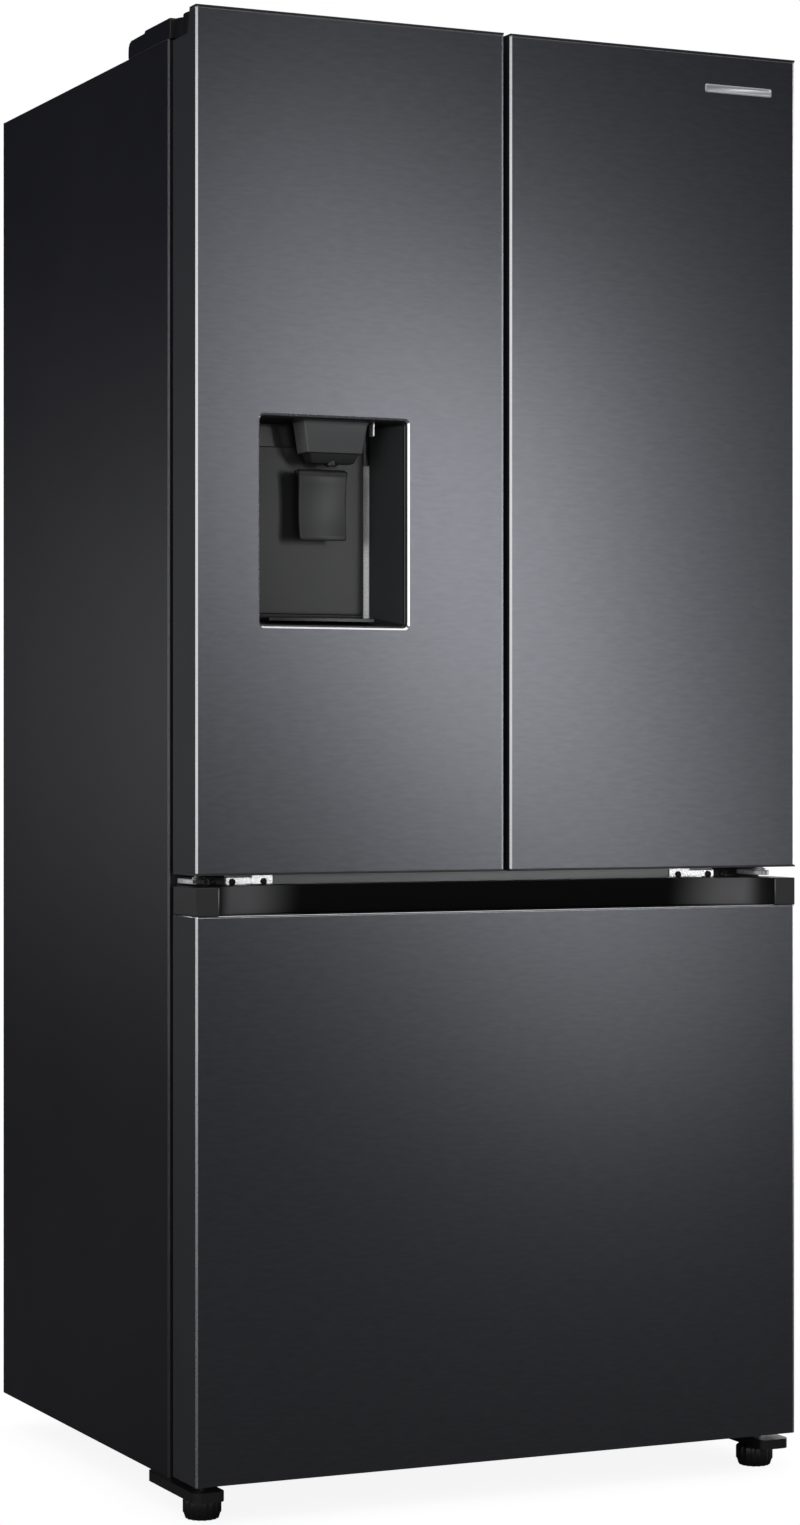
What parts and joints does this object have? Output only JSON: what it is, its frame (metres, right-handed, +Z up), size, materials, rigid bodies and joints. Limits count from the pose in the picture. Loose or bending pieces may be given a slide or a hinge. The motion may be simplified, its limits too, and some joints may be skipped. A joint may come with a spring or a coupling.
{
  "type": "french door refrigerator",
  "caption": "Tall dark-steel refrigerator with a pair of hinged upper doors, a water dispenser recess in the left door and a full-width freezer drawer with a top finger grip.",
  "frame": {"origin": "on the floor, at the middle of the bounding box's underside", "axes": "+X to the right seen from the front, +Y from the doors to the back, +Z up"},
  "size_m": [0.817, 0.715, 1.793],
  "materials": {
    "door_steel": "dark graphite stainless, brushed across, fingerprint-proof coat",
    "side_paint": "near-black fine-textured paint",
    "black_plastic": "fine-grained black moulding",
    "dispenser_black": "satin to gloss black moulding",
    "white_liner": "satin white vacuum-formed plastic",
    "clear_plastic": "clear moulded polystyrene",
    "shelf_glass": "tempered float glass",
    "foam": "rigid polyurethane foam",
    "zinc_steel": "zinc-plated pressed steel",
    "seal_rubber": "soft magnetic seal",
    "black_metal": "black enamel",
    "evaporator_fins": "mill-finish fins",
    "wheel_plastic": "hard nylon",
    "fan_plastic": "moulded fan"
  },
  "bodies": {
    "cabinet": {"cabinet_shell": "side_paint", "back_panel": "zinc_steel", "base_frame": "zinc_steel", "cabinet_foam": "foam", "fridge_liner": "white_liner", "freezer_liner": "white_liner", "cross_rail": "side_paint", "air_duct": "white_liner", "glass_shelf_upper": "shelf_glass", "glass_shelf_lower": "shelf_glass", "crisper_cover": "shelf_glass", "top_hinge_left": "zinc_steel", "top_hinge_right": "zinc_steel", "hinge_cover_left": "black_plastic", "hinge_cover_right": "black_plastic", "mid_hinge_left": "zinc_steel", "mid_hinge_right": "zinc_steel", "machine_cover": "black_metal", "compressor": "black_metal", "condenser": "black_metal", "evaporator": "evaporator_fins", "evaporator_cover": "white_liner", "rail_left_outer": "zinc_steel", "rail_right_outer": "zinc_steel"},
    "left_door": {"left_door_panel": "door_steel", "left_door_liner": "white_liner", "left_door_top_cap": "black_plastic", "left_door_bottom_cap": "black_plastic", "left_door_gasket": "seal_rubber", "left_bin_upper": "clear_plastic", "left_bin_lower": "clear_plastic", "dispenser_housing": "dispenser_black", "dispenser_nozzle": "dispenser_black", "water_tank": "clear_plastic"},
    "dispenser_lever": {"dispenser_lever": "dispenser_black"},
    "mullion": {"mullion": "side_paint"},
    "right_door": {"right_door_panel": "door_steel", "right_door_liner": "white_liner", "right_door_top_cap": "black_plastic", "right_door_bottom_cap": "black_plastic", "right_door_gasket": "seal_rubber", "right_bin_upper": "clear_plastic", "right_bin_lower": "clear_plastic"},
    "freezer_drawer": {"drawer_panel": "door_steel", "drawer_liner": "white_liner", "drawer_top_cap": "black_plastic", "drawer_gasket": "seal_rubber", "drawer_frame": "zinc_steel", "drawer_basket": "white_liner"},
    "rail_left_mid": {"rail_left_mid": "zinc_steel"},
    "rail_right_mid": {"rail_right_mid": "zinc_steel"},
    "freezer_tray": {"freezer_tray": "white_liner"},
    "crisper_left": {"crisper_left": "clear_plastic"},
    "crisper_right": {"crisper_right": "clear_plastic"},
    "roller_left": {"roller_left": "wheel_plastic"},
    "roller_right": {"roller_right": "wheel_plastic"},
    "foot_left": {"foot_left": "black_plastic"},
    "foot_right": {"foot_right": "black_plastic"},
    "condenser_fan": {"condenser_fan": "fan_plastic"},
    "evaporator_fan": {"evaporator_fan": "fan_plastic"}
  },
  "joints": [
    {"name": "left_door_hinge", "type": "hinge", "parent": "cabinet", "child": "left_door", "pos_m": [-0.386, -0.3075, 1.28], "axis": [0, 0, -1], "range_deg": [0, 115]},
    {"name": "right_door_hinge", "type": "hinge", "parent": "cabinet", "child": "right_door", "pos_m": [0.386, -0.3075, 1.28], "axis": [0, 0, 1], "range_deg": [0, 115]},
    {"name": "mullion_fold", "type": "hinge", "parent": "left_door", "child": "mullion", "pos_m": [-0.034, -0.256, 1.254], "axis": [0, 0, -1], "range_deg": [0, 90]},
    {"name": "dispenser_lever_press", "type": "hinge", "parent": "left_door", "child": "dispenser_lever", "pos_m": [-0.228, -0.3105, 1.25], "axis": [1, 0, 0], "range_deg": [0, 10], "stiffness_Nm_per_rad": 0.1, "springref_deg": -5.73},
    {"name": "freezer_drawer_slide", "type": "slide", "parent": "cabinet", "child": "freezer_drawer", "axis": [0, -1, 0], "range_m": [0, 0.42]},
    {"name": "rail_left_slide", "type": "slide", "parent": "cabinet", "child": "rail_left_mid", "axis": [0, -1, 0], "range_m": [0, 0.21]},
    {"name": "rail_right_slide", "type": "slide", "parent": "cabinet", "child": "rail_right_mid", "axis": [0, -1, 0], "range_m": [0, 0.21]},
    {"name": "freezer_tray_slide", "type": "slide", "parent": "freezer_drawer", "child": "freezer_tray", "axis": [0, 1, 0], "range_m": [0, 0.148]},
    {"name": "crisper_left_slide", "type": "slide", "parent": "cabinet", "child": "crisper_left", "axis": [0, -1, 0], "range_m": [0, 0.075]},
    {"name": "crisper_right_slide", "type": "slide", "parent": "cabinet", "child": "crisper_right", "axis": [0, -1, 0], "range_m": [0, 0.075]},
    {"name": "roller_left_spin", "type": "hinge", "parent": "cabinet", "child": "roller_left", "pos_m": [-0.325, 0.28, 0.022], "axis": [1, 0, 0], "continuous": true},
    {"name": "roller_right_spin", "type": "hinge", "parent": "cabinet", "child": "roller_right", "pos_m": [0.325, 0.28, 0.022], "axis": [1, 0, 0], "continuous": true},
    {"name": "foot_left_turn", "type": "hinge", "parent": "cabinet", "child": "foot_left", "pos_m": [-0.38, -0.3045, 0.013], "axis": [0, 0, 1], "continuous": true},
    {"name": "foot_right_turn", "type": "hinge", "parent": "cabinet", "child": "foot_right", "pos_m": [0.38, -0.3045, 0.013], "axis": [0, 0, 1], "continuous": true},
    {"name": "condenser_fan_spin", "type": "hinge", "parent": "cabinet", "child": "condenser_fan", "pos_m": [0.036, 0.255, 0.155], "axis": [1, 0, 0], "continuous": true},
    {"name": "evaporator_fan_spin", "type": "hinge", "parent": "cabinet", "child": "evaporator_fan", "pos_m": [0, 0.216, 0.622], "axis": [0, 1, 0], "continuous": true}
  ],
  "couplings": [
    {"joint": "rail_left_slide", "follows": "freezer_drawer_slide", "ratio": 0.5},
    {"joint": "rail_right_slide", "follows": "freezer_drawer_slide", "ratio": 0.5}
  ]
}
